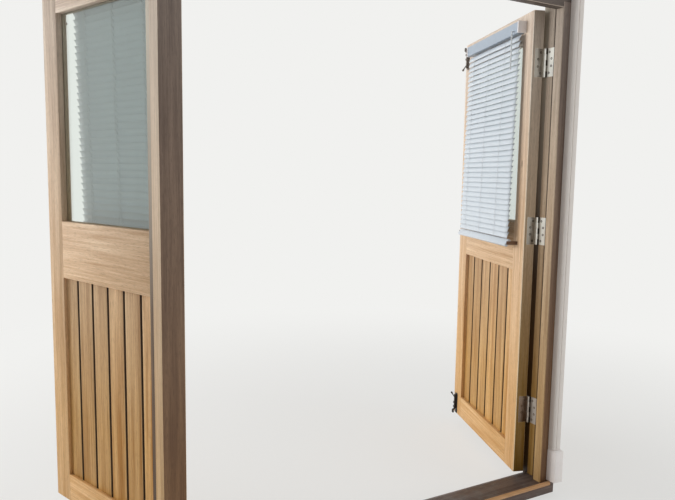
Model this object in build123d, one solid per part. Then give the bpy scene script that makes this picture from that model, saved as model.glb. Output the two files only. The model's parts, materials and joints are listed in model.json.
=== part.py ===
"""Pair of half-glazed oak doors in their frame, as hung at the front of a small timber hut.

Millimetres. +Z is up, +X runs along the wall to the right as seen from inside, +Y points outdoors.
The origin lies on the sill's underside, midway along it, under the outer face of the closed doors.
Each door is drawn closed, on the right, and is then swung open about its own hinge pins; the left
door is its mirror image.
"""
from build123d import *
import os
from math import cos, radians, sin, tan

# Doors
leaf_width = 685.0
leaf_height = 1735.0
leaf_thickness = 42.0
stile_width = 88.0
top_rail_height = 102.0
lock_rail_height = 188.0
bottom_rail_height = 95.0
panel_height = 685.0
leaf_arris = 2.0
rest_open_angle = 110.0

# Running gaps round a closed door
side_gap = 5.0
meeting_gap = 9.0
head_gap = 10.0
sill_gap = 5.0
seal_clearance = 5.0

# Frame
jamb_thickness = 42.0
head_thickness = 42.0
stop_projection = 20.0
head_stop_drop = 20.0
stop_depth = 34.0
stop_arris = 2.0
sill_thickness = 45.0
sill_nose = 22.0
sill_flat = 4.0
sill_fall = 5.0
sill_lead = 10.0
drip_width = 6.0
drip_depth = 5.0
drip_inset = 7.0

# Weather seal along the stops
seal_projection = 3.0
seal_width = 6.0
seal_inset = 0.5
seal_bevel = 1.0

# Trim round the outdoor face of the frame
outer_trim_reveal = 9.0
outer_trim_depth = 34.0
outer_trim_bevel = 3.0

# Room-side trim on the right and the bead along the floor
trim_width = 34.0
trim_depth = 28.0
trim_set_back = 14.0
trim_round = 9.0
quirk_place = 11.5
quirk_width = 2.5
quirk_depth = 3.0
plinth_width = 40.0
plinth_depth = 41.0
plinth_height = 122.0
plinth_lead = 2.0
plinth_bevel = 5.0
floor_level = 52.0
bead_width = 12.0
bead_height = 13.0
bead_round = 5.0

# Glass and its beads
glass_thickness = 6.0
glass_cover = 10.0
glass_set_back = 16.0
glazing_bead_width = 11.0
glazing_bead_bevel = 6.0

# Boards of the lower panel
board_thickness = 16.0
board_recess = 15.0
board_pitch = 90.5
full_boards = 4
board_housing = 8.0
board_joint = 4.0
groove_bevel = 3.0
tongue_length = 9.0
tongue_thickness = 5.0
tongue_clearance = 0.4

# Butt hinges
hinge_height = 102.0
bottom_hinge_margin = 250.0
top_hinge_margin = 185.0
middle_hinge_rise = 38.0
hinge_plate = 3.0
hinge_reach = 31.0
knuckle_radius = 6.0
knuckle_count = 5
knuckle_clearance = 0.3
pin_radius = 3.2
pin_clearance = 0.1
axis_stand_off = 7.5

# Necked door bolts
bolt_inset = 32.0
bolt_plate_length = 96.0
bolt_plate_width = 28.0
bolt_plate_thickness = 3.0
bolt_plate_corner = 4.0
bolt_bar_width = 10.0
bolt_bar_depth = 8.0
bolt_bar_length = 90.0
bolt_tip_bevel = 2.0
bolt_clearance = 0.6
neck_offset = 9.0
neck_level = 14.0
neck_rise = 8.0
staple_wall = 2.5
staple_height = 8.0
staple_corner = 3.0
lower_staple_level = 26.0
upper_staple_level = 46.0
lever_level = 71.0
lever_length = 38.0
lever_tilt = 32.0
lever_radius = 2.5
knob_radius = 4.6
knob_length = 9.0
knob_bevel = 1.6
lever_sides = 8
bottom_bolt_base = 2.0
top_bolt_margin = 17.0
bolt_travel = 16.0
keep_clearance = 3.0
keep_spare_depth = 3.0

# Venetian blind on each door's inner face
blind_hinge_margin = 58.0
blind_bolt_clearance = 46.0
headrail_height = 40.0
headrail_depth = 30.0
headrail_margin = 27.0
headrail_wall = 2.0
headrail_channel = 4.0
bracket_thickness = 7.0
bracket_height = 42.0
bracket_depth = 33.0
slat_end_gap = 1.0
slat_width = 25.0
slat_thickness = 0.8
slat_crown = 2.2
slat_tilt = 72.0
slat_pitch = 21.0
slat_stand_off = 17.0
slat_clearance = 1.0
blind_foot_stand_off = 34.0
blind_lap = 98.0
blind_rail_width = 30.0
blind_rail_height = 13.0
blind_rail_bevel = 2.5
blind_rail_tilt = 55.0
ladder_end_inset = 68.0
ladder_wand_inset = 127.0
ladder_width = 2.4
ladder_thickness = 0.6
ladder_gap = 0.3
wand_inset = 36.0
wand_radius = 2.8
wand_sides = 6
wand_length = 138.0
wand_clearance = 5.5
wand_hook_width = 3.2

# Holders that keep the blind's bottom rail off the lock rail
holder_gap = 1.0
holder_plate = 1.5
holder_height = 13.0
holder_foot = 12.0
holder_overlap = 6.0
holder_pin_radius = 2.2
holder_pin_clearance = 0.4
holder_pin_sides = 8

# Places worked out from the sizes above
stop_gap = seal_projection + seal_clearance
sill_top = sill_thickness
leaf_bottom = sill_top + sill_gap
leaf_top = leaf_bottom + leaf_height
rebate_x = leaf_width + side_gap + meeting_gap / 2
leaf_hinge_x = rebate_x - side_gap
leaf_free_x = meeting_gap / 2
stop_x = rebate_x - stop_projection
frame_back_x = rebate_x + jamb_thickness
outer_trim_x = rebate_x + outer_trim_reveal
inner_y = -leaf_thickness
stop_y = inner_y - stop_gap
room_y = stop_y - stop_depth
sill_inner_y = room_y - sill_lead
rebate_z = leaf_top + head_gap
head_stop_z = rebate_z - head_stop_drop
frame_top = rebate_z + head_thickness
axis_x = rebate_x - side_gap / 2
axis_y = axis_stand_off
field_x0 = leaf_free_x + stile_width
field_x1 = leaf_hinge_x - stile_width
panel_z0 = leaf_bottom + bottom_rail_height
panel_z1 = panel_z0 + panel_height
glass_z0 = panel_z1 + lock_rail_height
glass_z1 = leaf_top - top_rail_height
glass_y0 = inner_y + glass_set_back
glass_y1 = glass_y0 + glass_thickness
board_y0 = inner_y + board_recess
board_y1 = board_y0 + board_thickness
hinge_z0 = leaf_bottom + bottom_hinge_margin
hinge_z2 = leaf_top - top_hinge_margin
hinge_z1 = (hinge_z0 + hinge_z2) / 2 + middle_hinge_rise
hinge_middles = [hinge_z0, hinge_z1, hinge_z2]
bolt_x = leaf_free_x + bolt_inset
bolt_plate_y = inner_y - bolt_plate_thickness
rod_y = bolt_plate_y - bolt_clearance - bolt_bar_depth / 2
tip_y = rod_y - neck_offset
bracket_x0 = bolt_x + bolt_plate_width / 2 + blind_bolt_clearance
bracket_x1 = leaf_hinge_x - blind_hinge_margin
headrail_x0 = bracket_x0 + bracket_thickness
headrail_x1 = bracket_x1 - bracket_thickness
headrail_z1 = leaf_top - headrail_margin
headrail_z0 = headrail_z1 - headrail_height
slat_x0 = headrail_x0 + slat_end_gap
slat_x1 = headrail_x1 - slat_end_gap
rail_lean = radians(blind_rail_tilt)
rail_corner_y = (blind_rail_width * cos(rail_lean) - blind_rail_height * sin(rail_lean)) / 2
rail_corner_z = (blind_rail_width * sin(rail_lean) + blind_rail_height * cos(rail_lean)) / 2
rail_y = inner_y - blind_foot_stand_off
rail_z = glass_z0 - blind_lap + rail_corner_z


def block(x0, x1, y0, y1, z0, z1):
    """Box between two corners."""
    return Pos((x0 + x1) / 2, (y0 + y1) / 2, (z0 + z1) / 2) * Box(x1 - x0, y1 - y0, z1 - z0)


def along_z(points, z0, z1):
    """Upright piece: an outline in plan, drawn up from z0 to z1."""
    outline = make_face(Polyline(*points, close=True))
    return Pos(0, 0, z0) * extrude(outline, amount=z1 - z0)


def along_x(points, x0, x1):
    """Level piece: an outline of (y, z) points, drawn from x0 to x1."""
    outline = make_face(Polyline(*points, close=True))
    return Pos(x0, 0, 0) * extrude(Plane.YZ * outline, amount=x1 - x0)


def edges_along(shape, axis):
    """Straight edges of a shape that run along one axis."""
    return shape.edges().filter_by(axis)


# Frame
def jamb():
    """Right jamb with its door stop and the mortises of the three hinges."""
    section = [(rebate_x, 0), (frame_back_x, 0), (frame_back_x, room_y), (stop_x + stop_arris, room_y),
               (stop_x, room_y + stop_arris), (stop_x, stop_y), (rebate_x, stop_y)]
    body = along_z(section, sill_top, rebate_z)
    for middle in hinge_middles:
        body -= block(rebate_x, rebate_x + hinge_plate, -hinge_reach, 0,
                      middle - hinge_height / 2, middle + hinge_height / 2)
    return body


def head():
    """Head across both jambs, with its stop notched where the top bolts shoot."""
    top = block(-frame_back_x, frame_back_x, room_y, 0, rebate_z, frame_top)
    section = [(room_y, rebate_z), (room_y, head_stop_z + stop_arris), (room_y + stop_arris, head_stop_z),
               (stop_y, head_stop_z), (stop_y, rebate_z)]
    body = top + along_x(section, -stop_x, stop_x)
    reach_x = bolt_bar_width / 2 + keep_clearance
    reach_y = bolt_bar_depth / 2 + keep_clearance
    for side in (-1, 1):
        middle = side * bolt_x
        body -= block(middle - reach_x, middle + reach_x, tip_y - reach_y, stop_y, head_stop_z, rebate_z)
    return body


def sill():
    """Sill with a weathered nose between the outer trims, a drip under it and a keep for each bottom bolt."""
    drip_y1 = sill_nose - drip_inset
    drip_y0 = drip_y1 - drip_width
    nose = [(0, 0), (drip_y0, 0), (drip_y0, drip_depth), (drip_y1, drip_depth), (drip_y1, 0), (sill_nose, 0),
            (sill_nose, sill_top - sill_fall), (sill_flat, sill_top), (0, sill_top)]
    body = block(-frame_back_x, frame_back_x, sill_inner_y, 0, 0, sill_top)
    body += along_x(nose, -outer_trim_x, outer_trim_x)
    shot = leaf_bottom + bottom_bolt_base - bolt_travel
    reach_x = bolt_bar_width / 2 + keep_clearance
    reach_y = bolt_bar_depth / 2 + keep_clearance
    for side in (-1, 1):
        middle = side * bolt_x
        body -= block(middle - reach_x, middle + reach_x, tip_y - reach_y, tip_y + reach_y,
                      shot - keep_spare_depth, sill_top)
    return body


def weather_seal():
    """Compressible seal on the outdoor face of the stops, up both jambs and across the head."""
    near = stop_x + seal_inset
    far = near + seal_width
    low = head_stop_z + seal_inset
    high = low + seal_width
    front = stop_y + seal_projection
    upright = [(near, stop_y), (near, front - seal_bevel), (near + seal_bevel, front), (far, front), (far, stop_y)]
    right = along_z(upright, sill_top, high)
    across = [(stop_y, low), (front - seal_bevel, low), (front, low + seal_bevel), (front, high), (stop_y, high)]
    return right + mirrored(right) + along_x(across, -near, near)


def outer_trim():
    """Trim boards on the outdoor face of the frame: an upright at each side and one across the head."""
    inner_x = outer_trim_x
    inner_z = rebate_z + outer_trim_reveal
    back = outer_trim_depth - outer_trim_bevel
    upright_plan = [(inner_x, 0), (inner_x, back), (inner_x + outer_trim_bevel, outer_trim_depth),
                    (frame_back_x, outer_trim_depth), (frame_back_x, 0)]
    right = along_z(upright_plan, 0, frame_top)
    across = [(0, inner_z), (back, inner_z), (outer_trim_depth, inner_z + outer_trim_bevel),
              (outer_trim_depth, frame_top), (0, frame_top)]
    return Compound([right, mirrored(right), along_x(across, -inner_x, inner_x)])


def floor_bead():
    """Round-topped bead that closes the joint between the sill and the floor boards."""
    right_end = rebate_x + trim_set_back - plinth_lead
    body = block(-frame_back_x, right_end, sill_inner_y - bead_width, sill_inner_y,
                 floor_level - bead_height, floor_level)
    return fillet(edges_along(body, Axis.X).group_by(Axis.Z)[-1], bead_round)


def trim():
    """Upright trim on the room side of the right jamb: a rounded edge, a quirk and a flat."""
    x0 = rebate_x + trim_set_back
    front = room_y - trim_depth
    body = block(x0, x0 + trim_width, front, room_y, floor_level + plinth_height, frame_top)
    body = fillet(edges_along(body, Axis.Z).group_by(Axis.Y)[0].sort_by(Axis.X)[0], trim_round)
    return body - block(x0 + quirk_place, x0 + quirk_place + quirk_width, front, front + quirk_depth,
                        floor_level + plinth_height, frame_top)


def plinth():
    """Plinth block at the foot of the trim, bevelled round its top."""
    x0 = rebate_x + trim_set_back - plinth_lead
    body = block(x0, x0 + plinth_width, room_y - plinth_depth, room_y, floor_level, floor_level + plinth_height)
    rim = body.faces().sort_by(Axis.Z)[-1].edges().sort_by(Axis.Y)[:-1]
    return chamfer(rim, plinth_bevel)


# Door joinery, drawn closed on the right
def glass_pocket():
    """Space that the glass and its beads take out of the door's rails and stiles."""
    return block(field_x0 - glass_cover, field_x1 + glass_cover, inner_y, glass_y1,
                 glass_z0 - glass_cover, glass_z1 + glass_cover)


def board_pocket():
    """Groove round the lower panel that houses the boards."""
    return block(field_x0 - board_housing, field_x1 + board_housing, board_y0, board_y1,
                 panel_z0 - board_housing, panel_z1 + board_housing)


def upright(x0, x1, edge_x):
    """One stile, with the two arrises of its outer edge eased."""
    body = block(x0, x1, inner_y, 0, leaf_bottom, leaf_top)
    arrises = [e for e in edges_along(body, Axis.Z) if abs(e.center().X - edge_x) < leaf_arris]
    return chamfer(arrises, leaf_arris) - glass_pocket() - board_pocket()


def hinge_stile():
    """Stile on the hinge side, mortised for the hinge plates."""
    body = upright(field_x1, leaf_hinge_x, leaf_hinge_x)
    for middle in hinge_middles:
        body -= block(leaf_hinge_x - hinge_plate, leaf_hinge_x, -hinge_reach, 0,
                      middle - hinge_height / 2, middle + hinge_height / 2)
    return body


def meeting_stile():
    """Stile where the two doors meet."""
    return upright(leaf_free_x, field_x0, leaf_free_x)


def rail(z0, z1):
    """One rail between the stiles."""
    return block(field_x0, field_x1, inner_y, 0, z0, z1) - glass_pocket() - board_pocket()


def board(x0, x1, first, last):
    """One upright board: bevelled edges, a tongue on its right and a groove on its left."""
    left = x0 if first else x0 + board_joint / 2
    right = x1 if last else x1 - board_joint / 2
    section = [(left, board_y0 + groove_bevel), (left, board_y1 - groove_bevel)] if not first else []
    if first:
        section += [(left, board_y0), (left, board_y1)]
    else:
        section += [(left + groove_bevel, board_y1)]
    if last:
        section += [(right, board_y1), (right, board_y0)]
    else:
        section += [(right - groove_bevel, board_y1), (right, board_y1 - groove_bevel),
                    (right, board_y0 + groove_bevel), (right - groove_bevel, board_y0)]
    if not first:
        section += [(left + groove_bevel, board_y0)]
    z0 = panel_z0 - board_housing
    z1 = panel_z1 + board_housing
    body = along_z(section, z0, z1)
    middle_y = (board_y0 + board_y1) / 2
    if not last:
        body += block(right - board_joint, right + tongue_length, middle_y - tongue_thickness / 2,
                      middle_y + tongue_thickness / 2, z0, z1)
    if not first:
        slot = tongue_thickness / 2 + tongue_clearance
        slot_end = left + tongue_length - board_joint + tongue_clearance
        body -= block(left, slot_end, middle_y - slot, middle_y + slot, z0, z1)
    return body


def boards():
    """Tongued and grooved boards across the lower panel, with narrower boards at both ends."""
    middle = (field_x0 + field_x1) / 2
    joints = [middle + board_pitch * (i - full_boards / 2) for i in range(full_boards + 1)]
    starts = [field_x0 - board_housing] + joints
    ends = joints + [field_x1 + board_housing]
    count = len(starts)
    return Compound([board(starts[i], ends[i], i == 0, i == count - 1) for i in range(count)])


def glass():
    """Pane in the upper opening."""
    return block(field_x0 - glass_cover, field_x1 + glass_cover, glass_y0, glass_y1,
                 glass_z0 - glass_cover, glass_z1 + glass_cover)


def glazing_bead():
    """Bevelled bead round the pane on its room side."""
    outer = block(field_x0 - glass_cover, field_x1 + glass_cover, inner_y, glass_y0,
                  glass_z0 - glass_cover, glass_z1 + glass_cover)
    inset = glazing_bead_width - glass_cover
    hole = block(field_x0 + inset, field_x1 - inset, inner_y, glass_y0, glass_z0 + inset, glass_z1 - inset)
    body = outer - hole
    mouth = [e for e in body.faces().sort_by(Axis.Y)[0].inner_wires()[0].edges()]
    return chamfer(mouth, glazing_bead_bevel)


# Hinges, about the pin axis
def knuckle_span(index):
    """Lowest and highest point of one knuckle, measured from the hinge's foot."""
    step = hinge_height / knuckle_count
    low = index * step + (knuckle_clearance / 2 if index else 0)
    high = (index + 1) * step - (knuckle_clearance / 2 if index < knuckle_count - 1 else 0)
    return low, high


def hinge_half(side, foot, owned):
    """Plate of one hinge with its own knuckles: side is +1 for the frame's half and -1 for the door's."""
    face = axis_x + side * side_gap / 2
    back = face + side * hinge_plate
    x0, x1 = min(face, back), max(face, back)
    body = block(x0, x1, -hinge_reach, 0, foot, foot + hinge_height)
    for index in owned:
        low, high = knuckle_span(index)
        body += block(x0, x1, -knuckle_clearance, axis_y, foot + low, foot + high)
        barrel = Cylinder(knuckle_radius, high - low, align=(Align.CENTER, Align.CENTER, Align.MIN))
        body += Pos(axis_x, axis_y, foot + low) * barrel
    return body


def frame_hinges():
    """Frame halves of the three hinges, each with its pin."""
    halves = []
    for middle in hinge_middles:
        foot = middle - hinge_height / 2
        pin = Cylinder(pin_radius, hinge_height, align=(Align.CENTER, Align.CENTER, Align.MIN))
        halves.append(hinge_half(1, foot, range(0, knuckle_count, 2)) + Pos(axis_x, axis_y, foot) * pin)
    return Compound(halves)


def door_hinges():
    """Door halves of the three hinges, bored for the pins."""
    halves = []
    for middle in hinge_middles:
        foot = middle - hinge_height / 2
        bore = Cylinder(pin_radius + pin_clearance, hinge_height, align=(Align.CENTER, Align.CENTER, Align.MIN))
        halves.append(hinge_half(-1, foot, range(1, knuckle_count, 2)) - Pos(axis_x, axis_y, foot) * bore)
    return Compound(halves)


# Bolts: drawn as the bottom bolt, tip down at z = 0, and turned over for the top
def bolt_case():
    """Plate of a door bolt with its two staples."""
    plate = block(-bolt_plate_width / 2, bolt_plate_width / 2, bolt_plate_y, inner_y, 0, bolt_plate_length)
    body = chamfer(edges_along(plate, Axis.Y), bolt_plate_corner)
    inside = bolt_bar_width / 2 + bolt_clearance
    outside = inside + staple_wall
    hole_y = rod_y - bolt_bar_depth / 2 - bolt_clearance
    front = hole_y - staple_wall
    outline = [(-outside, bolt_plate_y), (-outside, front + staple_corner), (staple_corner - outside, front),
               (outside - staple_corner, front), (outside, front + staple_corner), (outside, bolt_plate_y)]
    for level in (lower_staple_level, upper_staple_level):
        staple = along_z(outline, level, level + staple_height)
        body += staple - block(-inside, inside, hole_y, bolt_plate_y, level, level + staple_height)
    return body


def bolt_rod():
    """Flat bar of a door bolt, necked outwards near its tip, with an eight-sided lever to draw it by."""
    back = rod_y + bolt_bar_depth / 2
    front = rod_y - bolt_bar_depth / 2
    bend = neck_level + neck_rise
    outline = [(back - neck_offset, bolt_tip_bevel), (back - neck_offset, neck_level), (back, bend),
               (back, bolt_bar_length), (front, bolt_bar_length), (front, bend), (front - neck_offset, neck_level),
               (front - neck_offset, bolt_tip_bevel), (front - neck_offset + bolt_tip_bevel, 0),
               (back - neck_offset - bolt_tip_bevel, 0)]
    bar = along_x(outline, -bolt_bar_width / 2, bolt_bar_width / 2)
    shaft = extrude(RegularPolygon(lever_radius, lever_sides), amount=lever_length - knob_length)
    knob = extrude(RegularPolygon(knob_radius, lever_sides), amount=knob_length)
    rims = knob.edges().group_by(Axis.Z)
    knob = chamfer(rims[0] + rims[-1], knob_bevel)
    lever = shaft + Pos(0, 0, lever_length - knob_length) * knob
    return bar + Pos(0, rod_y, lever_level) * Rot(lever_tilt, 0, 0) * lever


def at_bottom(shape):
    """Puts a bolt piece at the foot of the meeting stile."""
    return Pos(bolt_x, 0, leaf_bottom + bottom_bolt_base) * shape


def at_top(shape):
    """Turns a bolt piece over and puts it at the top of the meeting stile."""
    return Pos(bolt_x, 0, leaf_top - top_bolt_margin) * mirror(shape, about=Plane.XY)


# Venetian blind
def blind_headrail():
    """Channel-shaped headrail with a box bracket round each end, against the door's inner face."""
    y0 = inner_y - headrail_depth
    floor_z = headrail_z1 - headrail_channel
    section = [(inner_y, headrail_z0), (inner_y, headrail_z1), (inner_y - headrail_wall, headrail_z1),
               (inner_y - headrail_wall, floor_z), (y0 + headrail_wall, floor_z), (y0 + headrail_wall, headrail_z1),
               (y0, headrail_z1), (y0, headrail_z0)]
    body = along_x(section, headrail_x0, headrail_x1)
    lip = (bracket_height - headrail_height) / 2
    for x0 in (bracket_x0, headrail_x1):
        body += block(x0, x0 + bracket_thickness, inner_y - bracket_depth, inner_y,
                      headrail_z0 - lip, headrail_z1 + lip)
    return body


def ladder_y(z):
    """Middle plane of the ladders, which lean out from the headrail to the bottom rail."""
    share = (headrail_z0 - z) / (headrail_z0 - rail_z)
    return inner_y - slat_stand_off - share * (blind_foot_stand_off - slat_stand_off)


def rail_surface(offset):
    """Height of the tilted bottom rail's surface above its middle, at one distance in front of or behind it."""
    if offset > rail_corner_y:
        return rail_corner_z - (offset - rail_corner_y) / tan(rail_lean)
    return rail_corner_z - (rail_corner_y - offset) * tan(rail_lean)


def slat():
    """One cambered slat, its crown drawn as three flats, tilted with its room-side edge down."""
    half = slat_width / 2
    crown = [(-half, 0), (-half / 3, slat_crown), (half / 3, slat_crown), (half, 0)]
    section = crown + [(y, z - slat_thickness) for y, z in reversed(crown)]
    return Rot(slat_tilt, 0, 0) * along_x(section, slat_x0, slat_x1)


def blind_slats():
    """Nearly closed slats between the front and back cords of their ladders."""
    lean = radians(slat_tilt)
    reach_z = slat_width / 2 * sin(lean) + slat_crown * cos(lean) + slat_clearance
    reach_y = slat_width / 2 * cos(lean) + slat_thickness * sin(lean) + ladder_gap
    first = rail_z + rail_corner_z + reach_z
    count = int((headrail_z0 - reach_z - first) // slat_pitch) + 1
    levels = [first + i * slat_pitch for i in range(count)]
    pieces = [Pos(0, ladder_y(z), z) * slat() for z in levels]
    near_wand = slat_x1 - ladder_wand_inset
    near_bolt = slat_x0 + ladder_end_inset
    for x in (near_bolt, (near_bolt + near_wand) / 2, near_wand):
        for side in (-1, 1):
            inner = side * reach_y
            outer = side * (reach_y + ladder_thickness)
            foot = rail_z + rail_surface(inner) + ladder_gap
            outline = [(ladder_y(foot) + inner, foot), (ladder_y(headrail_z0) + inner, headrail_z0),
                       (ladder_y(headrail_z0) + outer, headrail_z0), (ladder_y(foot) + outer, foot)]
            pieces.append(along_x(outline, x - ladder_width / 2, x + ladder_width / 2))
    return Compound(pieces)


def pin_outline(radius):
    """Many-sided outline of the pin in the bottom rail's ends, or of its hole."""
    return Plane.YZ * RegularPolygon(radius, holder_pin_sides)


def holder(end_x, side):
    """Angle bracket on the lock rail that takes the pin in one end of the bottom rail."""
    near = end_x + side * holder_gap
    far = near + side * holder_plate
    foot_end = near + side * holder_foot
    z0 = rail_z - holder_height / 2
    z1 = rail_z + holder_height / 2
    body = block(min(near, far), max(near, far), rail_y - holder_overlap, inner_y, z0, z1)
    body += block(min(near, foot_end), max(near, foot_end), inner_y - holder_plate, inner_y, z0, z1)
    hole = extrude(pin_outline(holder_pin_radius + holder_pin_clearance), amount=side * (holder_gap + holder_plate))
    return body - Pos(end_x, rail_y, rail_z) * hole


def blind_rail():
    """Bottom rail, tilted like the slats, held off the lock rail by a pin and a holder at each end."""
    outline = chamfer(Rectangle(blind_rail_width, blind_rail_height).vertices(), blind_rail_bevel)
    bar = extrude(Plane.YZ * outline, amount=slat_x1 - slat_x0)
    bar = Pos(slat_x0, rail_y, rail_z) * Rot(blind_rail_tilt, 0, 0) * bar
    holders = []
    for end_x, side in ((slat_x0, -1), (slat_x1, 1)):
        pin = extrude(pin_outline(holder_pin_radius), amount=side * (holder_gap + holder_plate))
        bar += Pos(end_x, rail_y, rail_z) * pin
        holders.append(holder(end_x, side))
    return Compound([bar] + holders)


def blind_wand():
    """Six-sided tilt wand that hangs from the headrail at the hinge end."""
    x = headrail_x1 - wand_inset
    y = inner_y - headrail_depth - wand_clearance - wand_radius
    half = wand_hook_width / 2
    hook_z = headrail_z0 + headrail_height / 4
    hook = block(x - half, x + half, y - half, inner_y - headrail_depth, hook_z - half, hook_z + half)
    rod = Pos(x, y, hook_z) * extrude(RegularPolygon(wand_radius, wand_sides), amount=-wand_length)
    return hook + rod


# Hanging and writing
def swung_open(shape):
    """Turns a piece of the closed right door outwards about its hinge pins."""
    return Pos(axis_x, axis_y, 0) * Rot(0, 0, -rest_open_angle) * Pos(-axis_x, -axis_y, 0) * shape


def mirrored(shape):
    """The same piece on the left door or the left of the frame."""
    return mirror(shape, about=Plane.YZ)


def door_pieces():
    """Every piece of the right door by its plain name, drawn closed."""
    return {
        "hinge_stile": hinge_stile(),
        "meeting_stile": meeting_stile(),
        "top_rail": rail(glass_z1, leaf_top),
        "lock_rail": rail(panel_z1, glass_z0),
        "bottom_rail": rail(leaf_bottom, panel_z0),
        "boards": boards(),
        "glass": glass(),
        "glazing_bead": glazing_bead(),
        "door_hinges": door_hinges(),
        "bottom_bolt_case": at_bottom(bolt_case()),
        "bottom_bolt_rod": at_bottom(bolt_rod()),
        "top_bolt_case": at_top(bolt_case()),
        "top_bolt_rod": at_top(bolt_rod()),
        "blind_headrail": blind_headrail(),
        "blind_slats": blind_slats(),
        "blind_bottom_rail": blind_rail(),
        "blind_wand": blind_wand(),
    }


def all_pieces():
    """Every node of the doorset by name."""
    nodes = {
        "sill": sill(),
        "head": head(),
        "right_jamb": jamb(),
        "left_jamb": mirrored(jamb()),
        "weather_seal": weather_seal(),
        "outer_trim": outer_trim(),
        "floor_bead": floor_bead(),
        "right_trim": trim(),
        "right_plinth_block": plinth(),
        "right_frame_hinges": frame_hinges(),
        "left_frame_hinges": mirrored(frame_hinges()),
    }
    for name, shape in door_pieces().items():
        opened = swung_open(shape)
        nodes["right_" + name] = opened
        nodes["left_" + name] = mirrored(opened)
    return nodes


os.makedirs("parts", exist_ok=True)
for node, solid in all_pieces().items():
    export_step(solid, "parts/" + node + ".step")
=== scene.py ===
"""Looks of a double door set for a small timber hut: oiled oak, satin hinges, black bolts, glass and blinds.

Metres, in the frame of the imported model: +X to the right seen from inside, +Y outdoors, +Z up.
Pieces of a leaf are drawn on the closed right-hand door and are then hung on either leaf.
"""
import json
import math
from functools import partial

import bmesh
import bpy
from mathutils import Matrix, Vector


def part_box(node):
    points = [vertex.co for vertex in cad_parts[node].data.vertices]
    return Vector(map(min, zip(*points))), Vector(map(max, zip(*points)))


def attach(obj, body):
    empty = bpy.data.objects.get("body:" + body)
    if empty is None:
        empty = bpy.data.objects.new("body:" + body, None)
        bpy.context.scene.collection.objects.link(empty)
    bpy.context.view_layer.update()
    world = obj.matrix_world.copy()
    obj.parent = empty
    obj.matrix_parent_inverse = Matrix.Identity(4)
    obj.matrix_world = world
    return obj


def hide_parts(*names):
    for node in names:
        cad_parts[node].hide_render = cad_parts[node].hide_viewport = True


bl_info = {
    "name": "Hut door set",
    "version": (1, 0, 0),
    "blender": (4, 5, 0),
    "location": "3D View > Sidebar > Door set",
    "description": "Dresses a pair of half-glazed oak hut doors with timber, ironmongery, glass and blinds",
    "category": "Object",
}

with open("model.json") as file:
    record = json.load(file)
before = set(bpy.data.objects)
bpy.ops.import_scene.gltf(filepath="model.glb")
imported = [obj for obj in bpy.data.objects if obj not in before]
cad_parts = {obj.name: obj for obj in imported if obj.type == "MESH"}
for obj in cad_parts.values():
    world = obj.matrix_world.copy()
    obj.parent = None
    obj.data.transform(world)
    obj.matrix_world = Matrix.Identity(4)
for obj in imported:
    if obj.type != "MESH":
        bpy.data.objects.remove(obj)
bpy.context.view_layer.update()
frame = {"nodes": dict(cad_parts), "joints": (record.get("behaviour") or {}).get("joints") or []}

MM = 0.001
SIDES = {"right": 1, "left": -1}
HINGE = {joint["name"]: joint for joint in frame["joints"]}["right_door_hinge"]
AXIS_X, AXIS_Y = HINGE["pos_m"][0], HINGE["pos_m"][1]
OPEN_ANGLE = math.radians(-HINGE["range_deg"][0])


def tone(code):
    """Linear colour of an sRGB hex value."""
    parts = [int(code[i:i + 2], 16) / 255 for i in (1, 3, 5)]
    return tuple(c / 12.92 if c <= 0.04045 else ((c + 0.055) / 1.055) ** 2.4 for c in parts)


def dimmed(shade, share):
    """Colour darkened to a share of itself."""
    return tuple(c * share for c in shade)


def number(name, text, value, **kind):
    """Number setting."""
    return bpy.props.FloatProperty(name=name, description=text, default=value, **kind)


def length(name, text, millimetres):
    """Length setting with its default in millimetres."""
    return number(name, text, millimetres * MM, unit="LENGTH", precision=4, min=0)


def colour(name, text, code):
    """Colour setting with a hex default."""
    return bpy.props.FloatVectorProperty(name=name, description=text, subtype="COLOR", size=3, min=0, max=1,
                                         default=tone(code))


OAKS = {
    "door": ("the door", "#E6C396", "#BD8E5A"),
    "board": ("the boards", "#E3BB84", "#A0703A"),
    "edge": ("the leaf's hinge edge", "#E6C9A2", "#B79468"),
    # The arris colours are a painted highlight, pale where light catches the hinge stile's rounded arrises
    "arris": ("the worn arris", "#FFEFD2", "#EBD0A4"),
    "frame": ("the jambs and head", "#CDB08A", "#9F7F5B"),
    # The jambs' room side and the head's room side and underside take darker copies of the oak, as painted
    # shade
    "varnish": ("the jambs' varnished room side", "#8E6E51", "#654A36"),
    "head": ("the head's varnished room side and underside", "#6C523D", "#4A3629"),
    # The outer trim's dark tone is its stain, drawn darker still as painted shade for the narrow gap behind
    # the open leaf
    "outer": ("the stained outer trim", "#6E563F", "#3E2A1C"),
    "sill": ("the trodden and stained sill", "#6E5E56", "#43352F"),
    "bead": ("the floor bead", "#D6AC84", "#A57C57"),
}


class TimberSettings(bpy.types.PropertyGroup):
    arris: length("Arris", "Radius of the sanded arrises", 0.9)
    hinge_arris: length("Hinge stile arris", "Radius of the worn arrises of the hinge stile", 2.6)
    ring: length("Grain bands", "Width of the broad bands of early and late wood", 16)
    line: length("Grain lines", "Spacing of the fine lines, drawn coarse so that they show", 3.2)
    paint: colour("Trim paint", "Eggshell paint of the trim", "#E6DFD8")
    # The block's paint is whiter than the trim's, and drawn whiter still as painted light for the brighter
    # light on the block
    block_paint: colour("Block paint", "Eggshell paint of the plinth block", "#F4EEEA")
    for kind, (where, pale, dark) in OAKS.items():
        __annotations__[kind + "_pale"] = colour(f"Pale {kind} oak", f"Early wood of {where}", pale)
        __annotations__[kind + "_dark"] = colour(f"Dark {kind} oak", f"Late wood of {where}", dark)
    del kind, where, pale, dark


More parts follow.
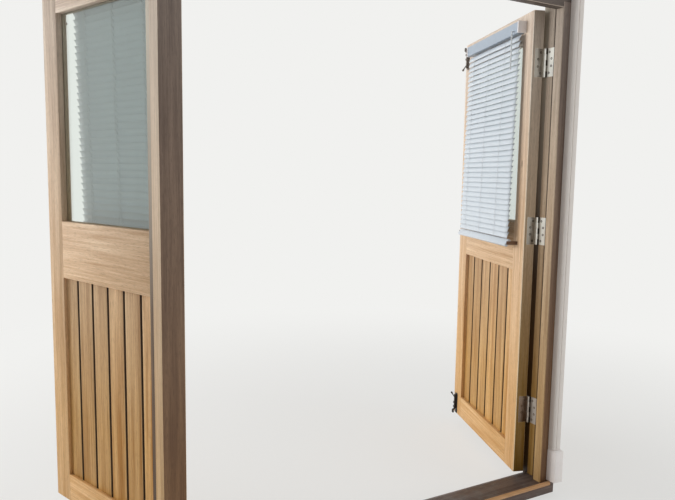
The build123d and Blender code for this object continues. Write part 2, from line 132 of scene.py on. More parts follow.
class IronmongerySettings(bpy.types.PropertyGroup):
    # The bright steel is drawn near white as painted reflection, and the dull steel darker as painted shade
    # for the door halves' plates
    steel: colour("Bright steel", "Satin steel of the hinges", "#FBF9F1")
    dull_steel: colour("Dull steel", "Plates of the door halves, which the weather reaches", "#A49E94")
    # Painted shade for the hinges nearest the ground
    tarnish: colour("Dimming", "Brown film on the hinges nearest the ground", "#6B4F38")
    # The screws' dull steel is drawn darker still as painted shade in their recesses
    screw: colour("Screws", "Dull steel of the screws in the hinges", "#47413A")
    iron: colour("Iron", "Black finish of the bottom bolts", "#1B1817")
    # The top bolts are drawn in a paler grey than the bottom ones
    faded_iron: colour("Paler iron", "Top bolts, faded by the sun", "#766E68")
    screw_head: length("Screw head", "Diameter of the countersunk heads in the hinges", 8.6)
    bolt_screw_head: length("Bolt screw head", "Diameter of the round heads in the bolt plates", 5.2)
    recess: length("Screw recess", "Depth of the cross recess", 1.3)


class BlindSettings(bpy.types.PropertyGroup):
    # The enamel's pale blue-grey is white enamel drawn with painted shade and a painted sky reflection
    enamel: colour("Enamel", "Satin enamel of the slats and bottom rail", "#CDD5DC")
    # The headrail's enamel is drawn darker than the slats' as painted shade, and the brackets' lighter as
    # painted light
    rail_enamel: colour("Headrail enamel", "Satin enamel of the headrail", "#A0ACB9")
    bracket: colour("Bracket", "Satin enamel of the headrail's brackets", "#F0ECEC")
    # The holders' dark brown is painted shade beside the ends of the bottom rail
    holder: colour("Holder", "Moulded plastic of the bottom rail's holders", "#76563F")
    cord: colour("Cord", "Ladder and lift cords", "#E3E6E9")
    slat_width: length("Slat width", "Width of a slat", 25)
    slat_thickness: length("Slat thickness", "Drawn thickness of a slat", 0.5)
    crown: length("Slat crown", "Rise of the cambered slat", 2.3)
    pitch: length("Slat pitch", "Distance between slats", 21)
    tilt: number("Foot tilt", "Tilt of the lowest slat, room side down", math.radians(71.5), subtype="ANGLE")
    top_tilt: number("Top tilt", "Tilt of the highest slat, which lets light by", math.radians(66),
                     subtype="ANGLE")
    unevenness: number("Unevenness", "How far the tilt differs from slat to slat", math.radians(1.6),
                       subtype="ANGLE")


class StageSettings(bpy.types.PropertyGroup):
    floor: colour("Floor", "Plain pale floor", "#E9E7E3")
    backdrop: colour("Backdrop", "Plain pale backdrop", "#F1F1EF")
    room_sky: number("Room side", "Strength of the even light from the room side", 0.38)
    outdoor_sky: number("Outdoor side", "Strength of the even light from outdoors", 0.72)
    key: number("Outdoor light", "Power of the large soft lamp outside the doorway", 225, unit="POWER")
    fill: number("Room light", "Power of the soft lamp on the room side", 74, unit="POWER")
    focal: number("Focal length", "Lens of the camera, in millimetres", 35.435)


# Nodes
def feed(tree, source, socket):
    """Gives a socket a value or links an output, a node's first live output, or each of a list of them."""
    for one in source if isinstance(source, list) else [source]:
        if isinstance(one, bpy.types.Node):
            one = next(output for output in one.outputs if output.enabled)
        if isinstance(one, bpy.types.NodeSocket):
            tree.links.new(one, socket)
        else:
            socket.default_value = (*one, 1) if socket.type == "RGBA" and len(one) == 3 else one


def add(tree, kind, inputs=None, stops=(), **settings):
    """Adds one node with its settings, what feeds its inputs and the stops of its ramp.

    kind is the name of the node's type without its prefix.
    """
    prefixes = ("ShaderNode", "GeometryNode", "FunctionNode", "")
    made = tree.nodes.new(next(prefix + kind for prefix in prefixes if hasattr(bpy.types, prefix + kind)))
    for key, value in settings.items():
        setattr(made, key, value)
    for key, source in (inputs or {}).items():
        feed(tree, source, made.inputs[key])
    for index, (place, shade) in enumerate(stops):
        ramp = made.color_ramp.elements
        element = ramp[index] if index < len(ramp) else ramp.new(place)
        element.position = place
        element.color = (*shade, 1)
    return made


def streaks(node, place, drawn, scale, detail, rough=0.5):
    """Noise drawn out along the axis that drawn makes small."""
    place = node("VectorMath", {0: place, 1: drawn}, operation="MULTIPLY")
    return node("TexNoise", {"Vector": place, "Scale": scale, "Detail": detail, "Roughness": rough})


def patches(node, place, scale, detail, rough, start, full, most):
    """Share of another tone in patches: none where the noise is below start, and most above full."""
    cloud = node("TexNoise", {"Vector": place, "Scale": scale, "Detail": detail, "Roughness": rough})
    return node("MapRange", {"Value": cloud, "From Min": start, "From Max": full, "To Max": most})


def strip(node, value, middle, inner, outer, most):
    """Share of another tone in a strip: most up to inner from its middle, and none past outer."""
    away = node("Math", {0: value, 1: middle}, operation="SUBTRACT")
    away = node("Math", {0: away}, operation="ABSOLUTE")
    return node("MapRange",
                {"Value": away, "From Min": inner, "From Max": outer, "To Min": most, "To Max": 0})


def surface(name):
    """New material with its tree and its Object coordinates."""
    material = bpy.data.materials.new(name)
    material.use_nodes = True
    node = partial(add, material.node_tree)
    return material, node, node("TexCoord").outputs["Object"]


def finish(material, base, rough, layers=(), bump=None, **sockets):
    """Feeds the shader a base colour with (share, colour) layers over it, a roughness and a bump.

    bump is the height, its strength and its depth.
    """
    tree = material.node_tree
    for share, laid in layers:
        base = add(tree, "Mix", {0: share, 6: base, 7: laid}, data_type="RGBA")
    if bump:
        sockets["Normal"] = add(tree, "Bump", dict(zip(("Height", "Strength", "Distance"), bump)))
    for name, source in {"Base_Color": base, "Roughness": rough, **sockets}.items():
        feed(tree, source, tree.nodes["Principled BSDF"].inputs[name.replace("_", " ")])
    return material


def leaf_space(node, place, body):
    """Coordinates of a leaf's piece from its hinge axis, turned back to the closed right-hand door."""
    if body == "frame":
        return place
    sign = SIDES[body]
    turned_back = {"Location": (sign * AXIS_X, AXIS_Y, 0), "Rotation": (0, 0, -sign * OPEN_ANGLE),
                   "Scale": (sign, 1, 1)}
    return node("Mapping", {"Vector": place, **turned_back}, vector_type="TEXTURE")


def oak(name, body, along, kind, boards=None, wear=0, foot_shade=0, top_light=0, knot=None, seal_shade=None):
    """Planed and oiled oak: broad bands, long fine lines, dark open pores and a low sheen.

    along is the axis of the grain on the closed door, and kind names its pair of colours. boards is the
    pitch of separate boards, how far one joint is from the hinge axis, their middle plane and half their
    thickness. wear is how much grey the surface has taken, foot_shade how far painted shade darkens it and
    makes it richer towards the ground, and top_light how far painted light pales it towards the top. knot is
    the place of a knot on the closed door's inner face. seal_shade is the x from which painted shade darkens
    the rebate beside the seal.
    """
    timber = bpy.context.scene.timber
    pale, dark = (tuple(getattr(timber, f"{kind}_{depth}")) for depth in ("pale", "dark"))
    material, node, place = surface(name)
    place = node("SeparateXYZ", {"Vector": leaf_space(node, place, body)}).outputs
    across, lengthways = ("X", "Z") if along == "Z" else ("Z", "X")
    # The leaves and the frame are cut from different stretches of the log
    cut = {"right": 0, "left": 7.3, "frame": 3.1}[body]
    last = node("Math", {0: place[lengthways], 1: cut}, operation="ADD")
    ring = timber.ring
    if boards:
        pitch, reach, middle, half = boards
        ring *= 1.5
        spot = node("Math", {0: place[across], 1: pitch}, operation="DIVIDE")
        spot = node("Math", {0: spot, 1: reach / pitch}, operation="ADD")
        count = node("Math", {0: spot}, operation="FLOOR")
        chance = node("TexWhiteNoise", {"W": count}, noise_dimensions="1D")
        last = node("Math", {0: chance, 1: 4, 2: last}, operation="MULTIPLY_ADD")
    grain = node("CombineXYZ", {"X": place[across], "Y": place["Y"], "Z": last})

    # Slow drift bends the straight grain a little
    drift = streaks(node, grain, (4, 4, 0.9), scale=1, detail=2).outputs["Color"]
    drift = node("VectorMath", {0: drift, 1: (0.03, 0.03, 0)}, operation="MULTIPLY")
    bent = node("VectorMath", {0: grain, 1: drift}, operation="ADD")
    bands = streaks(node, bent, (1, 1, 0.035), scale=1 / ring, detail=3, rough=0.55)
    lines = streaks(node, bent, (1, 1, 0.012), scale=1 / timber.line, detail=2, rough=0.6)
    # Pores are real at 0.3 mm and are drawn at 0.9 mm, so that a close view shows them
    pores = streaks(node, bent, (1, 1, 0.04), scale=1 / (0.9 * MM), detail=1)
    pores = node("ValToRGB", {"Fac": pores}, stops=[(0.56, (0, 0, 0)), (0.66, (1, 1, 1))])

    mixed = node("Math", {0: lines, 1: 0.42}, operation="MULTIPLY")
    mixed = node("Math", {0: bands, 1: 0.58, 2: mixed}, operation="MULTIPLY_ADD")
    middling = [(a + b) / 2 for a, b in zip(pale, dark)]
    shade = node("ValToRGB", {"Fac": mixed}, stops=[(0.34, dark), (0.5, middling), (0.66, pale)])
    if boards:
        lift = node("MapRange", {"Value": chance, "To Min": 0.84, "To Max": 1.1})
        shade = node("HueSaturation", {"Color": shade, "Value": lift})
    depth = node("Math", {0: pores, 1: 0.4}, operation="MULTIPLY")
    shade = node("Mix", {0: depth, 6: shade, 7: dimmed(dark, 0.45)}, data_type="RGBA")
    # Painted light: the oak is drawn greyer towards the top and more golden towards the foot, as the light
    # falling on it makes it look
    sun = node("MapRange",
               {"Value": place["Z"], "From Min": 0.35, "From Max": 1.7, "To Min": 1.1, "To Max": 0.5})
    shade = node("HueSaturation", {"Color": shade, "Saturation": sun})
    if foot_shade:
        # Painted shade: the foot is drawn darker and richer, where less light reaches it
        foot, rich = (
            node("MapRange", {"Value": place["Z"], "From Min": 0.08, "From Max": 1.15, "To Min": least})
            for least in (1 - foot_shade, 1 + foot_shade * 0.7))
        shade = node("HueSaturation", {"Color": shade, "Value": foot, "Saturation": rich})

    layers = []
    # Painted light pales the wood towards the top
    if top_light:
        top = node("MapRange", {"Value": place["Z"], "From Min": 0.8, "From Max": 1.55, "To Max": top_light})
        layers.append((top, tone("#BDB4A4")))
    if boards:
        # Painted shade darkens the joints between the boards, and the face beside them for 2 mm
        deep = strip(node, place["Y"], middle, half - 0.8 * MM, half - 0.2 * MM, 0.96)
        beside = node("Math", {0: spot, 1: 0.5}, operation="PINGPONG")
        beside = node("MapRange",
                      {"Value": beside, "From Min": 0.055, "From Max": 0.08, "To Min": 0.8, "To Max": 0})
        deep = node("Math", {0: deep, 1: beside}, operation="MAXIMUM")
        layers.append((deep, tone("#1C1008")))
    if seal_shade:
        # Painted shade darkens the rebate along the seal, where the closed door hides it
        side = node("Math", {0: place["X"]}, operation="ABSOLUTE")
        side = node("Math", {0: side, 1: seal_shade}, operation="GREATER_THAN")
        crease_shade = node("MapRange", {"Value": place["Y"], "From Min": -29 * MM, "From Max": -25.5 * MM,
                                 "To Min": 0.85, "To Max": 0})
        crease_shade = node("Math", {0: crease_shade, 1: side}, operation="MULTIPLY")
        layers.append((crease_shade, tone("#2A1C11")))
    if wear:
        worn = patches(node, grain, scale=14, detail=5, rough=0.7, start=0.45, full=0.7, most=wear)
        grey = sum(pale) / 3
        layers.append((worn, (grey * 1.5, grey * 1.45, grey * 1.35)))
    if knot:
        # Dead knot 6 mm wide and 30 mm tall
        away = node("CombineXYZ", {"X": place["X"], "Z": place["Z"]})
        away = node("VectorMath", {0: away, 1: (-knot[0], 0, -knot[1])}, operation="ADD")
        away = node("VectorMath", {0: away, 1: (330, 0, 66)}, operation="MULTIPLY")
        away = node("VectorMath", {0: away}, operation="LENGTH")
        away = node("MapRange",
                    {"Value": away, "From Min": 0.6, "From Max": 1.1, "To Min": 0.95, "To Max": 0})
        layers.append((away, tone("#1E120A")))

    sheen = node("MapRange",
                 {"Value": mixed, "From Min": 0.3, "From Max": 0.7, "To Min": 0.62, "To Max": 0.48})
    if boards:
        sheen = node("Math", {0: sheen, 1: deep}, operation="MAXIMUM")
    height = node("Math", {0: pores, 1: -0.6, 2: lines}, operation="MULTIPLY_ADD")
    return finish(material, shade, sheen, layers, (height, 0.35, 0.35 * MM), IOR=1.48)


def eggshell_paint(name, paint):
    """Brushed eggshell paint on softwood: nearly smooth, with faint strokes 2.4 mm apart up and down."""
    material, node, place = surface(name)
    strokes = streaks(node, place, (1, 1, 0.03), scale=420, detail=2)
    scuffs = patches(node, place, scale=22, detail=6, rough=0.75, start=0.5, full=0.8, most=0.28)
    rough = node("MapRange", {"Value": strokes, "To Min": 0.38, "To Max": 0.52})
    return finish(material, paint, rough, [(scuffs, dimmed(paint, 0.72))], (strokes, 0.3, 0.15 * MM))


def satin_steel(name, steel, tint, crevice=None):
    """Satin stainless steel: upright brushing, a soft reflection and painted shade, dark and brown near the
    ground.

    The brushing is drawn 0.7 mm wide, coarser than real. tint is how strong that painted shade is at the
    foot.
    crevice is the y of a line of painted shade where the knuckles meet the plate.
    """
    material, node, place = surface(name)
    brushed = streaks(node, place, (1, 1, 0.02), scale=1400, detail=2)
    smudge = node("TexNoise", {"Vector": place, "Scale": 70, "Detail": 4})
    dull = node("MapRange", {"Value": smudge, "From Min": 0.4, "From Max": 0.75, "To Max": 0.35})
    place = node("SeparateXYZ", {"Vector": place}).outputs
    # Painted shade: darker and browner towards the ground
    tarnish = node("Math", {0: smudge, 1: 0.3, 2: place["Z"]}, operation="MULTIPLY_ADD")
    tarnish = node("MapRange",
                   {"Value": tarnish, "From Min": 0.4, "From Max": 1.2, "To Min": tint, "To Max": 0})
    layers = [(dull, dimmed(steel, 0.75)), (tarnish, bpy.context.scene.ironmongery.tarnish)]
    # Painted shade in the crease where the knuckles meet the plate
    if crevice is not None:
        crease_shade = strip(node, place["Y"], crevice, 1.5 * MM, 2.6 * MM, 0.9)
        layers.append((crease_shade, tone("#33291F")))
    rough = node("Math", {0: brushed, 1: 0.16, 2: 0.24}, operation="MULTIPLY_ADD")
    return finish(material, steel, rough, layers, (brushed, 0.2, 0.05 * MM), Metallic=1)


def black_iron(name, iron):
    """Black lacquered iron: a cast skin with a 2 mm grain, rubbed to a brown sheen in 13 mm patches."""
    material, node, place = surface(name)
    skin = node("TexNoise", {"Vector": place, "Scale": 520, "Detail": 4})
    rubbed = patches(node, place, scale=75, detail=5, rough=0.5, start=0.5, full=0.75, most=0.6)
    rough = node("MapRange", {"Value": skin, "To Min": 0.3, "To Max": 0.55})
    return finish(material, iron, rough, [(rubbed, tone("#4A4039"))], (skin, 0.45, 0.2 * MM))


def satin_enamel(name, enamel):
    """Stoved satin enamel on aluminium: a smooth 1 mm orange peel, with a trace of dust here and there."""
    material, node, place = surface(name)
    dust = patches(node, place, scale=38, detail=6, rough=0.7, start=0.42, full=0.8, most=0.22)
    peel = node("TexNoise", {"Vector": place, "Scale": 900, "Detail": 1})
    rough = node("Math", {0: dust, 1: 0.4, 2: 0.34}, operation="MULTIPLY_ADD")
    return finish(material, enamel, rough, [(dust, dimmed(enamel, 0.8))], (peel, 0.12, 0.05 * MM))


def ladder_cord(cord):
    """Braided polyester cord: matt, with a twist every 1.2 mm."""
    material, node, place = surface("Polyester ladder cord")
    twist = node("TexWave", {"Vector": place, "Scale": 260, "Distortion": 1.5},
                 bands_direction="DIAGONAL").outputs["Fac"]
    return finish(material, cord, 0.85, [(twist, dimmed(cord, 0.78))], (twist, 0.3, 0.1 * MM))


def clear_glass():
    """Float glass with a faint green body colour and rain marks that dull it here and there."""
    material, node, place = surface("Clear float glass")
    marks = patches(node, place, scale=30, detail=6, rough=0.7, start=0.5, full=0.8, most=0.08)
    return finish(material, tone("#EEF5F0"), marks, Transmission_Weight=1, IOR=1.52)


def clear_acrylic():
    """Moulded clear acrylic of the tilt wand, slightly milky."""
    material, node, place = surface("Clear acrylic")
    haze = node("TexNoise", {"Vector": place, "Scale": 160, "Detail": 3})
    rough = node("MapRange", {"Value": haze, "To Min": 0.12, "To Max": 0.3})
    return finish(material, tone("#EEF2F4"), rough, Transmission_Weight=0.35, IOR=1.49)


def moulded_plastic(brown):
    """Brown moulded plastic of the holders: smooth, its spark-eroded grain drawn coarse at 0.9 mm."""
    material, node, place = surface("Brown moulded plastic")
    grain = node("TexNoise", {"Vector": place, "Scale": 1100, "Detail": 2})
    return finish(material, brown, 0.48, [(grain, dimmed(brown, 0.8))], (grain, 0.3, 0.06 * MM))


def seal_foam():
    """Brown foam seal: matt, with the 1.6 mm grain of its cells."""
    material, node, place = surface("Brown foam seal")
    skin = node("TexNoise", {"Vector": place, "Scale": 620, "Detail": 4})
    return finish(material, tone("#2C1E13"), 0.9, [(skin, tone("#191009"))], (skin, 0.5, 0.3 * MM))


# Pieces
def piece(name, mesh, body, materials=(), nodes=()):
    """New piece that rides on a body, takes a slot and stands for the named nodes."""
    for material in materials:
        mesh.materials.append(material)
    made = bpy.data.objects.new(name, mesh)
    bpy.context.scene.collection.objects.link(made)
    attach(made, body)
    if nodes:
        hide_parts(*nodes)


def smoothed(mesh, degrees):
    """Shades a mesh smooth, apart from its edges sharper than an angle."""
    mesh.shade_smooth()
    mesh.set_sharp_from_angle(angle=math.radians(degrees))
    return mesh


def clean_copy(node, arris):
    """Copy of a CAD piece as whole faces, its outer edges rounded by arris."""
    merge, flat, sharp = 2e-6, math.radians(0.6), math.radians(25)
    shape = bmesh.new()
    shape.from_mesh(frame["nodes"][node].data)
    bmesh.ops.remove_doubles(shape, verts=shape.verts, dist=merge)
    bmesh.ops.dissolve_limit(shape, angle_limit=flat, verts=shape.verts, edges=shape.edges)
    if arris:
        edges = [e for e in shape.edges
                 if len(e.link_faces) == 2 and e.is_convex and e.calc_face_angle(0) > sharp]
        bmesh.ops.bevel(shape, geom=edges, offset=arris, offset_type="OFFSET", segments=2, profile=0.5,
                        affect="EDGES", clamp_overlap=True)
    bmesh.ops.recalc_face_normals(shape, faces=shape.faces)
    mesh = bpy.data.meshes.new(node + "_dressed")
    shape.to_mesh(mesh)
    shape.free()
    return smoothed(mesh, 32)


def dress(node, body, materials, arris, pick=None):
    """Puts a clean copy of a CAD piece in its place, with rounded arrises.

    pick gives the number of a face's material, from the face's middle and its direction.
    """
    mesh = clean_copy(node, arris)
    piece(node + "_dressed", mesh, body, materials, [node])
    if pick:
        for face in mesh.polygons:
            face.material_index = int(pick(face.center, face.normal))


def hanging(side):
    """Matrix from the closed right-hand door to where a leaf stands."""
    sign = SIDES[side]
    turn = Matrix.Rotation(-sign * OPEN_ANGLE, 4, "Z")
    axis = Vector((sign * AXIS_X, AXIS_Y, 0))
    return Matrix.Translation(axis) @ turn @ Matrix.Translation(-axis) @ Matrix.Diagonal((sign, 1, 1, 1))


def hang(mesh, side):
    """Moves a mesh drawn on the closed right-hand door to where a leaf stands."""
    mesh.transform(hanging(side))
    if side == "left":
        mesh.flip_normals()
    mesh.update()
    return mesh


def prism(outline, half):
    """Mesh of a (y, z) outline drawn from -half to half along X."""
    shape = bmesh.new()
    near = [shape.verts.new((-half, y, z)) for y, z in outline]
    far = [shape.verts.new((half, y, z)) for y, z in outline]
    shape.faces.new(near)
    shape.faces.new(list(reversed(far)))
    for i in range(len(near)):
        j = (i + 1) % len(near)
        shape.faces.new((near[i], far[i], far[j], near[j]))
    bmesh.ops.recalc_face_normals(shape, faces=shape.faces)
    return shape


def turned(profile, steps):
    """Solid of revolution about Z from (radius, z) points, closed at both ends."""
    shape = bmesh.new()
    verts = [shape.verts.new((r, 0, z)) for r, z in profile]
    edges = [shape.edges.new(pair) for pair in zip(verts, verts[1:])]
    bmesh.ops.spin(shape, geom=verts + edges, cent=(0, 0, 0), axis=(0, 0, 1), angle=2 * math.pi, steps=steps)
    bmesh.ops.remove_doubles(shape, verts=shape.verts, dist=1e-6)
    bmesh.ops.recalc_face_normals(shape, faces=shape.faces)
    return shape


def joined(name, shapes):
    """One mesh of several bmesh shapes."""
    mesh = bpy.data.meshes.new(name)
    whole = bmesh.new()
    for shape in shapes:
        part = bpy.data.meshes.new("part")
        shape.to_mesh(part)
        shape.free()
        whole.from_mesh(part)
        bpy.data.meshes.remove(part)
    whole.to_mesh(mesh)
    whole.free()
    return smoothed(mesh, 40)


def point_mesh(places):
    """Mesh of loose points."""
    points = bpy.data.meshes.new("points")
    points.from_pydata(places, [], [])
    return points


# Geometry trees
def node_tree(name, sizes):
    """New geometry tree with a geometry input and output, and inputs named by their kind."""
    tree = bpy.data.node_groups.new(name, "GeometryNodeTree")
    for way in ("INPUT", "OUTPUT"):
        tree.interface.new_socket("Geometry", in_out=way, socket_type="NodeSocketGeometry")
    for kind, labels in sizes.items():
        for label in labels:
            tree.interface.new_socket(label, in_out="INPUT", socket_type="NodeSocket" + kind)
    return tree, partial(add, tree), add(tree, "NodeGroupInput").outputs


def painted(tree, geometry, material):
    """Ends a tree in its material and its output."""
    geometry = add(tree, "SetMaterial", {"Geometry": geometry, "Material": material})
    add(tree, "NodeGroupOutput", {"Geometry": geometry})
    return tree


def grown(tree, mesh, values, name):
    """Runs a geometry tree on a mesh with the given input values and returns the plain mesh it makes."""
    seed = bpy.data.objects.new("seed", mesh)
    bpy.context.scene.collection.objects.link(seed)
    modifier = seed.modifiers.new("Tree", "NODES")
    modifier.node_group = tree
    sockets = {item.name: item.identifier for item in tree.interface.items_tree if item.in_out == "INPUT"}
    for label, value in values.items():
        modifier[sockets[label]] = value
    bpy.context.view_layer.update()
    seed.update_tag()
    graph = bpy.context.evaluated_depsgraph_get()
    made = bpy.data.meshes.new_from_object(seed.evaluated_get(graph), preserve_all_data_layers=True,
                                           depsgraph=graph)
    made.name = name
    bpy.data.objects.remove(seed)
    return made


def screw_tree(material):
    """Tree that sets a cross-recessed screw head on each point, facing along the point's own vector."""
    tree, node, given = node_tree("Cross-recessed screws", {"Float": ("Head", "Height", "Recess"),
                                                            "Int": ("Seed",)})
    radius, neck, reach, thin, drop, deep = (
        node("Math", {0: given[size], 1: share}, operation="MULTIPLY") for size, share in (
            ("Head", 0.5), ("Head", 0.36), ("Head", 0.62), ("Head", 0.15), ("Height", -0.5), ("Recess", 2)))
    skirt = node("MeshCylinder", {"Vertices": 20, "Radius": radius, "Depth": given["Height"]})
    low = node("CombineXYZ", {"Z": drop})
    skirt = node("Transform", {"Geometry": skirt, "Translation": low})
    cap = node("MeshCone",
               {"Vertices": 20, "Radius Top": neck, "Radius Bottom": radius, "Depth": given["Height"]})
    cap = node("Transform", {"Geometry": cap, "Scale": (1, 1, 0.35)})
    head = node("MeshBoolean", {"Mesh 2": [skirt, cap]}, operation="UNION", solver="EXACT")
    bars = []
    for wide, high in ((reach, thin), (thin, reach)):
        size = node("CombineXYZ", {"X": wide, "Y": high, "Z": deep})
        bars.append(node("MeshCube", {"Size": size}))
    cross = node("MeshBoolean", {"Mesh 2": bars}, operation="UNION", solver="EXACT")
    cut = node("MeshBoolean", {"Mesh 1": head, "Mesh 2": cross}, operation="DIFFERENCE", solver="EXACT")
    facing = node("InputNamedAttribute", {"Name": "facing"}, data_type="FLOAT_VECTOR")
    aim = node("AlignRotationToVector", {"Vector": facing}, axis="Z")
    placed = node("InstanceOnPoints", {"Points": given["Geometry"], "Instance": cut, "Rotation": aim})
    spin = node("RandomValue", {2: 0.0, 3: 3.14, "Seed": given["Seed"]}, data_type="FLOAT")
    spin = node("CombineXYZ", {"Z": spin})
    spun = node("RotateInstances", {"Instances": placed, "Rotation": spin})
    return painted(tree, node("RealizeInstances", {"Geometry": spun}), material)


def row_of_blind(node, given, instance, lean=None):
    """Instance at each row of the blind, its tilt changing evenly from foot to top; lean adds to the tilt."""
    row = node("InputIndex")
    tilt = node("MapRange", {"Value": row, "From Max": given["Count"], "To Min": given["Tilt"],
                             "To Max": given["Top Tilt"]})
    if lean:
        tilt = node("Math", {0: lean, 1: tilt}, operation="ADD")
    tilt = node("CombineXYZ", {"X": tilt})
    stack = node("MeshLine", {"Count": given["Count"], "Start Location": given["Foot"],
                              "Offset": given["Step"]}, mode="OFFSET")
    return node("InstanceOnPoints", {"Points": stack, "Instance": instance, "Rotation": tilt})


def slat_tree(material):
    """Tree that stacks cambered slats from foot to head, each tilted a little differently."""
    corner_cut = 0.009
    sag = 1.1 * MM
    tree, node, given = node_tree("Venetian slats", {
        "Int": ("Count", "Seed"), "Vector": ("Foot", "Step"),
        "Float": ("Length", "Width", "Thickness", "Crown", "Tilt", "Top Tilt", "Unevenness")})
    flat = node("MeshGrid",
                {"Size X": given["Length"], "Size Y": given["Width"], "Vertices X": 21, "Vertices Y": 8})
    place = node("SeparateXYZ", {"Vector": node("InputPosition")}).outputs
    share = node("Math", {0: place["Y"], 1: given["Width"]}, operation="DIVIDE")
    share = node("Math", {0: share, 1: 2}, operation="MULTIPLY")
    share = node("Math", {0: share, 1: share}, operation="MULTIPLY")
    rise = node("Math", {0: 1, 1: share}, operation="SUBTRACT")
    rise = node("Math", {0: rise, 1: given["Crown"]}, operation="MULTIPLY")
    # The ends draw in towards the slat's edges, which rounds its corners
    corner = node("Math", {0: share, 1: 4}, operation="POWER")
    corner = node("Math", {0: corner, 1: -corner_cut}, operation="MULTIPLY")
    corner = node("Math", {0: corner, 1: place["X"]}, operation="MULTIPLY")
    bend = node("CombineXYZ", {"X": corner, "Z": rise})
    cambered = node("SetPosition", {"Geometry": flat, "Offset": bend})
    thick = node("ExtrudeMesh", {"Mesh": cambered, "Offset Scale": given["Thickness"], "Individual": False})
    under = node("FlipFaces", {"Mesh": cambered})
    whole = node("JoinGeometry", {"Geometry": [thick, under]})
    slat = node("MergeByDistance", {"Geometry": whole, "Distance": 1e-5})
    least = node("Math", {0: given["Unevenness"], 1: -1}, operation="MULTIPLY")
    lean = node("RandomValue", {2: least, 3: given["Unevenness"], "Seed": given["Seed"]}, data_type="FLOAT")
    solid = node("RealizeInstances", {"Geometry": row_of_blind(node, given, slat, lean)})
    # Each slat waves a little along its length
    wave = streaks(node, node("InputPosition"), (5, 0, 44), scale=1, detail=0)
    wave = node("MapRange", {"Value": wave, "To Min": -sag, "To Max": sag})
    wave = node("CombineXYZ", {"Z": wave})
    hung = node("SetPosition", {"Geometry": solid, "Offset": wave})
    return painted(tree, node("SetShadeSmooth", {"Geometry": hung}), material)


def ladder_tree(material):
    """Tree that hangs a ladder at each point: two outer cords, a lift cord and a rung under each slat."""
    below = -1.3 * MM
    tree, node, given = node_tree("Blind ladders", {
        "Int": ("Count",), "Vector": ("Foot", "Step", "Top", "Bottom"),
        "Float": ("Spread", "Cord", "Tilt", "Top Tilt", "Rung")})
    ring = node("CurvePrimitiveCircle", {"Resolution": 6, "Radius": given["Cord"]})
    cords = []
    for side in (-1, 0, 1):
        shift = node("Math", {0: given["Spread"], 1: side}, operation="MULTIPLY")
        shift = node("CombineXYZ", {"Y": shift})
        low, high = (node("VectorMath", {0: given[end], 1: shift}, operation="ADD")
                     for end in ("Bottom", "Top"))
        line = node("CurvePrimitiveLine", {"Start": low, "End": high})
        cords.append(node("CurveToMesh", {"Curve": line, "Profile Curve": ring, "Fill Caps": True}))
    front = node("CombineXYZ", {"Y": given["Rung"], "Z": below})
    back = node("Math", {0: given["Rung"], 1: -1}, operation="MULTIPLY")
    back = node("CombineXYZ", {"Y": back, "Z": below})
    rung = node("CurvePrimitiveLine", {"Start": back, "End": front})
    rung = node("CurveToMesh", {"Curve": rung, "Profile Curve": ring, "Fill Caps": True})
    ladder = node("JoinGeometry", {"Geometry": [*cords, row_of_blind(node, given, rung)]})
    placed = node("InstanceOnPoints", {"Points": given["Geometry"], "Instance": ladder})
    return painted(tree, node("RealizeInstances", {"Geometry": placed}), material)


def set_screws(tree, name, body, places, way, stand, values):
    """Sets a screw at each place with its head towards way; stand moves both to where they belong."""
    points = point_mesh(places)
    points.transform(stand)
    layer = points.attributes.new("facing", "FLOAT_VECTOR", "POINT")
    layer.data.foreach_set("vector", list(stand.to_3x3() @ Vector(way)) * len(places))
    piece(name, grown(tree, points, values, name), body)


# Operators
class DOORSET_OT_frame_timber(bpy.types.Operator):
    """Dress the jambs, head, sill and floor bead in oak"""
    bl_idname = "doorset.frame_timber"
    bl_label = "Frame timber"

    def execute(self, context):
        arris = context.scene.timber.arris
        # Outdoor face of the stops, reach of the rebates, and where the painted shade beside the seal starts
        stop_y, rebate_x, seal_x = -50 * MM, 700 * MM, 676 * MM
        upright = oak("Oiled oak upright", "frame", "Z", "frame", foot_shade=0.12)
        # The rebate takes a copy of the oak with more painted shade towards the foot and along the seal
        rebate = oak("Oiled oak rebate", "frame", "Z", "frame", foot_shade=0.42, seal_shade=seal_x)
        # Faces towards the room take the darker copy, as painted shade
        shaded = oak("Varnished oak upright", "frame", "Z", "varnish")
        for node in ("right_jamb", "left_jamb"):
            dress(node, "frame", [upright, shaded, rebate], arris, lambda place, way:
                  1 if way.y < -0.9 else 2 * (place.y > stop_y and abs(place.x) < rebate_x))
        level = oak("Oiled oak level", "frame", "X", "frame")
        # The head's room side and underside take a darker copy still, as painted shade
        shaded_level = oak("Varnished oak level", "frame", "X", "head")
        dress("head", "frame", [level, shaded_level], arris,
              lambda place, way: way.y < -0.9 or way.z < -0.9)
        dress("sill", "frame", [oak("Worn dark oak", "frame", "X", "sill", wear=0.5)], arris)
        dress("floor_bead", "frame", [oak("Oiled oak bead", "frame", "X", "bead")], arris)
        return {"FINISHED"}


class DOORSET_OT_outer_trim(bpy.types.Operator):
    """Dress the outdoor trim boards in dark stained oak"""
    bl_idname = "doorset.outer_trim"
    bl_label = "Outer trim"

    def execute(self, context):
        # Painted light and shade: the outer trim pales towards the top and darkens towards the foot
        upright = oak("Stained oak upright", "frame", "Z", "outer", foot_shade=0.65, top_light=0.85)
        level = oak("Stained oak level", "frame", "X", "outer", top_light=0.75)
        board_width = 34 * MM
        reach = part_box("outer_trim")[1].x - board_width
        # Its boards touch at their ends, so their corners stay as cut
        dress("outer_trim", "frame", [upright, level], 0, lambda place, way: abs(place.x) < reach)
        return {"FINISHED"}


